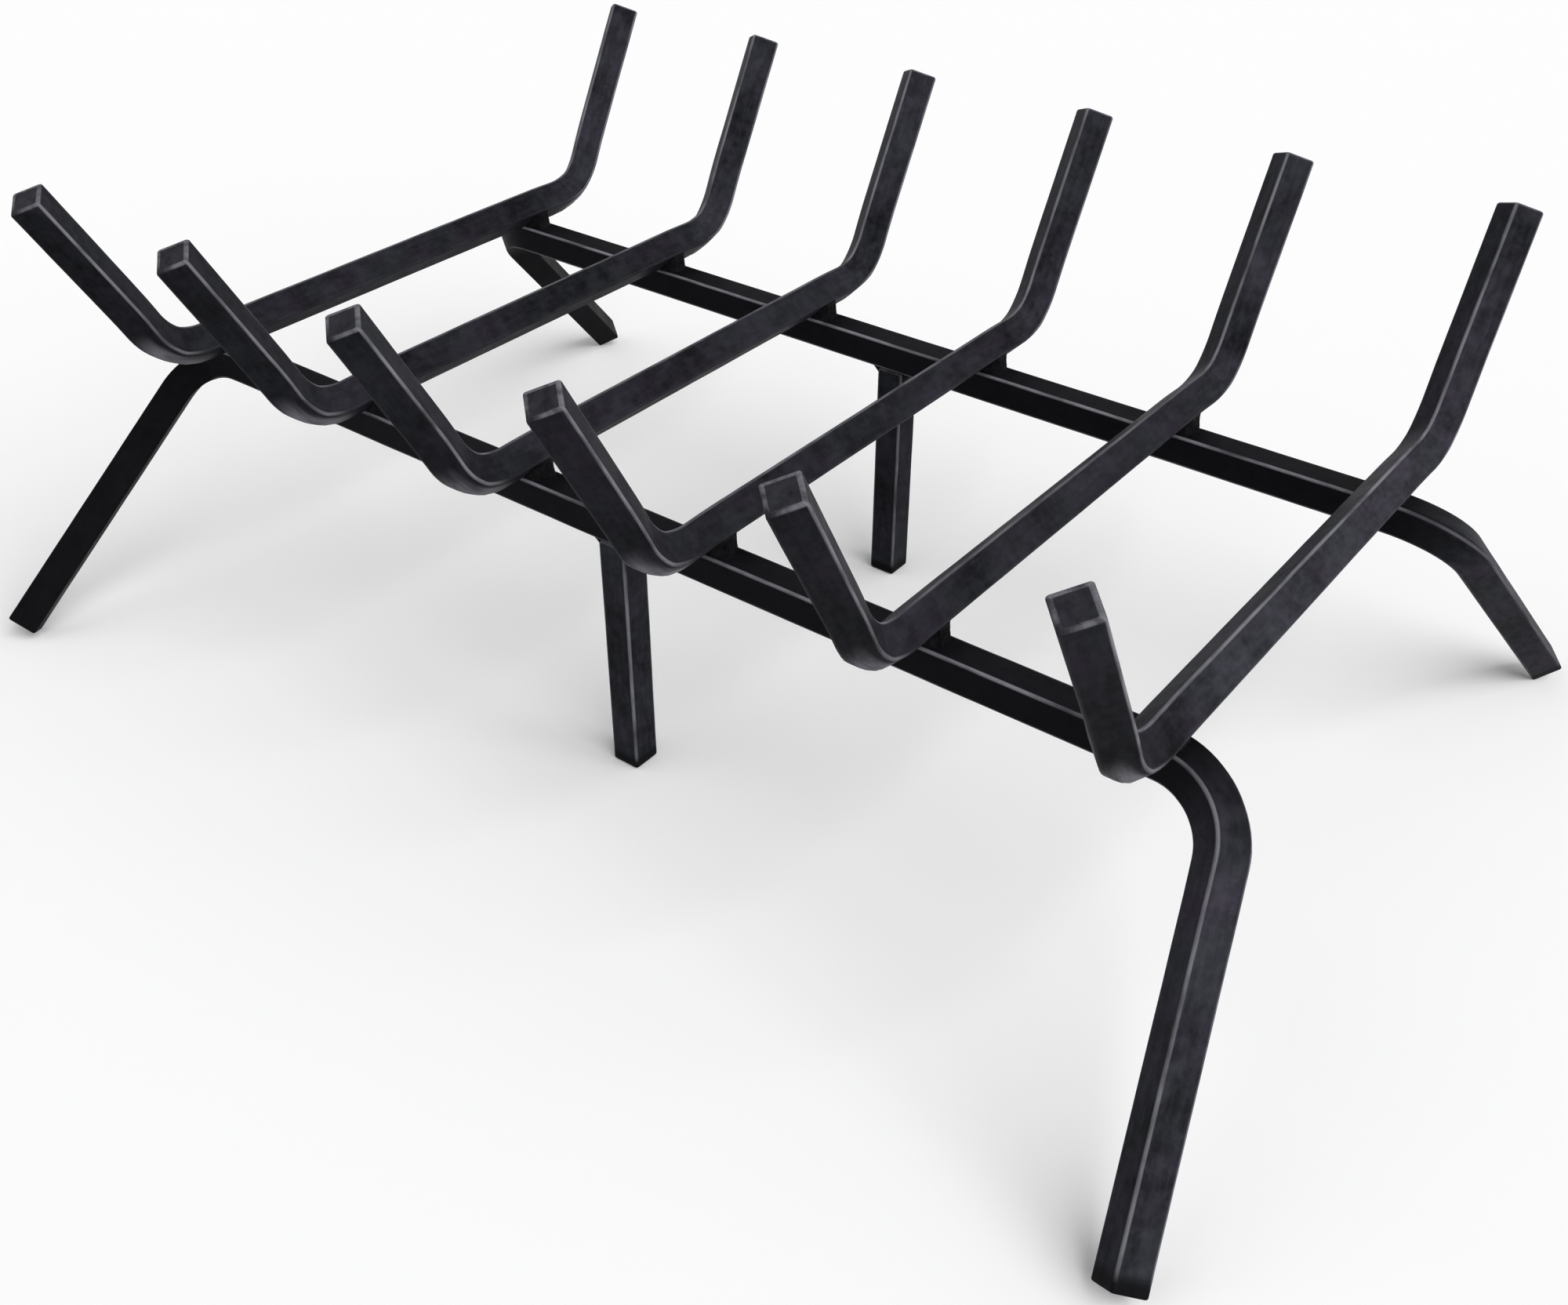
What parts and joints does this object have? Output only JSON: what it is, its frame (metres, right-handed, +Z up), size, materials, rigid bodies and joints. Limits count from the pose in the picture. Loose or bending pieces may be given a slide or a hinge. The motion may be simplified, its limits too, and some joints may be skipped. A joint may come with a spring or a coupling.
{
  "type": "log grate",
  "caption": "Fireplace log grate of welded square steel bar, with upright prongs at front and rear, splayed outer legs and straight middle legs.",
  "frame": {"origin": "on the hearth, under the centre of the grate", "axes": "+X along the rails to the right, +Y to the back of the fireplace, +Z up; the front of the grate faces -Y"},
  "size_m": [0.5692, 0.3994, 0.2109],
  "materials": {
    "bar_paint": "satin black high-temperature paint on hot-rolled square steel bar",
    "weld_paint": "the same paint over rippled weld beads, a little rougher"
  },
  "bodies": {
    "root": {"log_bar_1": "bar_paint", "log_bar_2": "bar_paint", "log_bar_3": "bar_paint", "log_bar_4": "bar_paint", "log_bar_5": "bar_paint", "log_bar_6": "bar_paint", "front_rail": "bar_paint", "rear_rail": "bar_paint", "front_middle_leg": "bar_paint", "rear_middle_leg": "bar_paint", "front_weld_1_left": "weld_paint", "front_weld_2_left": "weld_paint", "front_weld_3_left": "weld_paint", "front_weld_4_left": "weld_paint", "front_weld_5_left": "weld_paint", "front_weld_6_left": "weld_paint", "front_leg_weld_left": "weld_paint", "front_weld_1_right": "weld_paint", "front_weld_2_right": "weld_paint", "front_weld_3_right": "weld_paint", "front_weld_4_right": "weld_paint", "front_weld_5_right": "weld_paint", "front_weld_6_right": "weld_paint", "front_leg_weld_right": "weld_paint", "rear_weld_1_left": "weld_paint", "rear_weld_2_left": "weld_paint", "rear_weld_3_left": "weld_paint", "rear_weld_4_left": "weld_paint", "rear_weld_5_left": "weld_paint", "rear_weld_6_left": "weld_paint", "rear_leg_weld_left": "weld_paint", "rear_weld_1_right": "weld_paint", "rear_weld_2_right": "weld_paint", "rear_weld_3_right": "weld_paint", "rear_weld_4_right": "weld_paint", "rear_weld_5_right": "weld_paint", "rear_weld_6_right": "weld_paint", "rear_leg_weld_right": "weld_paint"}
  },
  "joints": []
}
